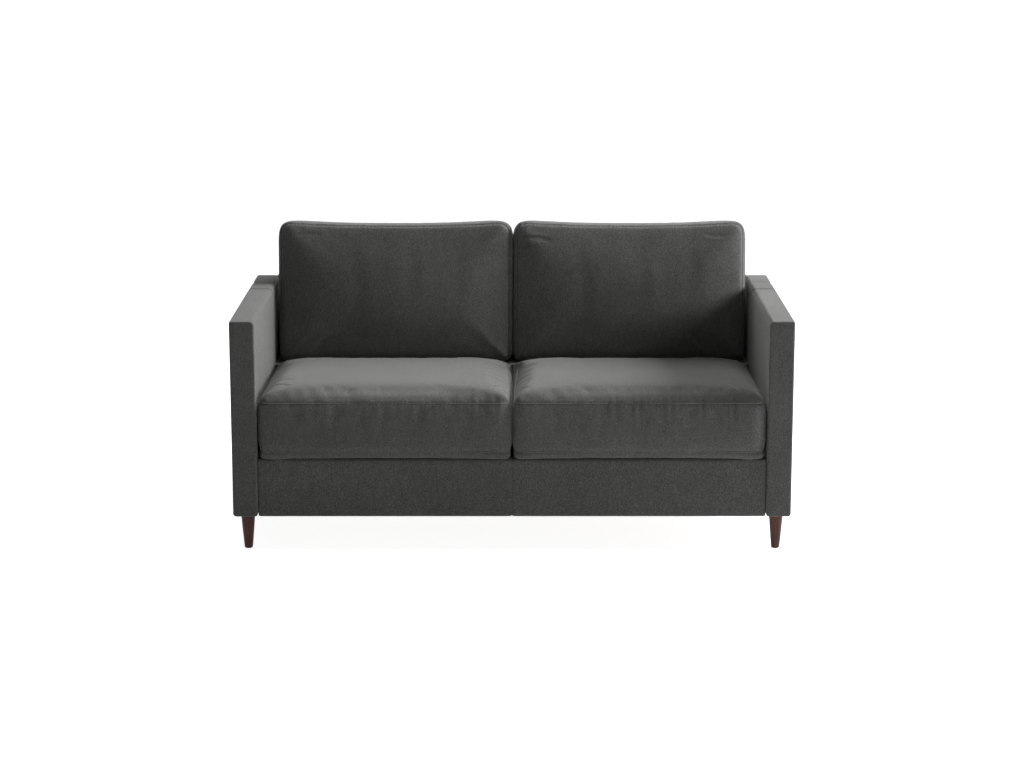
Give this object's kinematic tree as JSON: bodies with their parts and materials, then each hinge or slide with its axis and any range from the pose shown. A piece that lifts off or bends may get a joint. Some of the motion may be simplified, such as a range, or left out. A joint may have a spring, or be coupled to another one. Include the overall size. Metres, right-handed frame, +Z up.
{
  "type": "sleeper sofa",
  "caption": "Upholstered two-seat sofa with slim arms and a fold-out bed under the seat, carried on hinged tube sections and folding legs.",
  "frame": {"origin": "on the floor under the middle of the folded sofa", "axes": "+X to the viewer's right across the width, +Y from front to back, +Z up"},
  "size_m": [1.655, 0.8799, 0.8786],
  "materials": {
    "body_fabric": "heathered woven",
    "cushion_fabric": "heathered woven",
    "leg_wood": "satin stain",
    "plated_steel": "plated",
    "timber": "plain",
    "frame_steel": "powder coat",
    "ticking": "quilted",
    "rubber": "matte"
  },
  "bodies": {
    "chassis": {"arm_left": "body_fabric", "arm_right": "body_fabric", "back_return_left": "body_fabric", "back_return_right": "body_fabric", "back_panel": "body_fabric", "cushion_ledge": "body_fabric", "side_rail_left": "frame_steel", "side_rail_right": "frame_steel", "cross_stretcher": "frame_steel", "leg_front_left": "leg_wood", "leg_front_right": "leg_wood", "leg_rear_left": "leg_wood", "leg_rear_right": "leg_wood", "leg_plate_front_left": "plated_steel", "leg_plate_front_right": "plated_steel", "leg_plate_rear_left": "plated_steel", "leg_plate_rear_right": "plated_steel"},
    "head_section": {"head_pivot_tube": "frame_steel", "head_side_left": "frame_steel", "head_side_right": "frame_steel", "head_cross": "frame_steel", "head_slat_lower": "timber", "head_slat_upper": "timber", "head_mattress": "ticking"},
    "body_section": {"body_side_left": "frame_steel", "body_side_right": "frame_steel", "body_cross_front": "frame_steel", "body_cross_rear": "frame_steel", "body_slat_1": "timber", "body_slat_2": "timber", "body_slat_3": "timber", "body_slat_4": "timber", "body_slat_5": "timber", "body_mattress": "ticking"},
    "knee_section": {"front_rail": "body_fabric", "knee_plate_left": "frame_steel", "knee_plate_right": "frame_steel", "knee_mattress": "ticking"},
    "foot_section": {"foot_side_left": "frame_steel", "foot_side_right": "frame_steel", "foot_cross_front": "frame_steel", "foot_cross_rear": "frame_steel", "foot_slat_1": "timber", "foot_slat_2": "timber", "foot_slat_3": "timber", "foot_slat_4": "timber", "foot_mattress": "ticking", "seat_cushion_left": "cushion_fabric", "seat_cushion_right": "cushion_fabric"},
    "foot_leg_left": {"bed_leg_left": "frame_steel", "bed_leg_cap_left": "rubber"},
    "foot_leg_right": {"bed_leg_right": "frame_steel", "bed_leg_cap_right": "rubber"},
    "parallel_link_left": {"link_left": "frame_steel"},
    "parallel_link_right": {"link_right": "frame_steel"},
    "loose_cushion_left": {"back_cushion_left": "cushion_fabric"},
    "loose_cushion_right": {"back_cushion_right": "cushion_fabric"}
  },
  "joints": [
    {"name": "head_fold", "type": "hinge", "parent": "chassis", "child": "head_section", "pos_m": [0, 0.375, 0.352], "axis": [-1, 0, 0], "range_deg": [0, 90]},
    {"name": "body_fold", "type": "hinge", "parent": "head_section", "child": "body_section", "pos_m": [0, 0.375, 0.116], "axis": [1, 0, 0], "range_deg": [0, 90]},
    {"name": "knee_fold", "type": "hinge", "parent": "body_section", "child": "knee_section", "pos_m": [0, -0.416, 0.116], "axis": [1, 0, 0], "range_deg": [0, 90]},
    {"name": "foot_fold", "type": "hinge", "parent": "knee_section", "child": "foot_section", "pos_m": [0, -0.416, 0.27], "axis": [1, 0, 0], "range_deg": [0, 90]},
    {"name": "link_left_swing", "type": "hinge", "parent": "chassis", "child": "parallel_link_left", "pos_m": [-0.76, -0.145, 0.352], "axis": [-1, 0, 0], "range_deg": [0, 90]},
    {"name": "link_right_swing", "type": "hinge", "parent": "chassis", "child": "parallel_link_right", "pos_m": [0.76, -0.145, 0.352], "axis": [-1, 0, 0], "range_deg": [0, 90]},
    {"name": "foot_leg_left_swing", "type": "hinge", "parent": "foot_section", "child": "foot_leg_left", "pos_m": [-0.668, 0.2022, 0.27], "axis": [0, -1, 0], "range_deg": [0, 90]},
    {"name": "foot_leg_right_swing", "type": "hinge", "parent": "foot_section", "child": "foot_leg_right", "pos_m": [0.668, 0.2022, 0.27], "axis": [0, 1, 0], "range_deg": [0, 90]},
    {"name": "back_cushion_left_lift", "type": "slide", "parent": "chassis", "child": "loose_cushion_left", "axis": [0, 0, 1], "range_m": [0, 0.45]},
    {"name": "back_cushion_right_lift", "type": "slide", "parent": "chassis", "child": "loose_cushion_right", "axis": [0, 0, 1], "range_m": [0, 0.45]}
  ],
  "couplings": [
    {"joint": "body_fold", "follows": "head_fold", "ratio": 1},
    {"joint": "knee_fold", "follows": "head_fold", "ratio": 1},
    {"joint": "foot_fold", "follows": "head_fold", "ratio": 1},
    {"joint": "link_left_swing", "follows": "head_fold", "ratio": 1},
    {"joint": "link_right_swing", "follows": "head_fold", "ratio": 1},
    {"joint": "foot_leg_left_swing", "follows": "head_fold", "ratio": 1},
    {"joint": "foot_leg_right_swing", "follows": "head_fold", "ratio": 1}
  ]
}
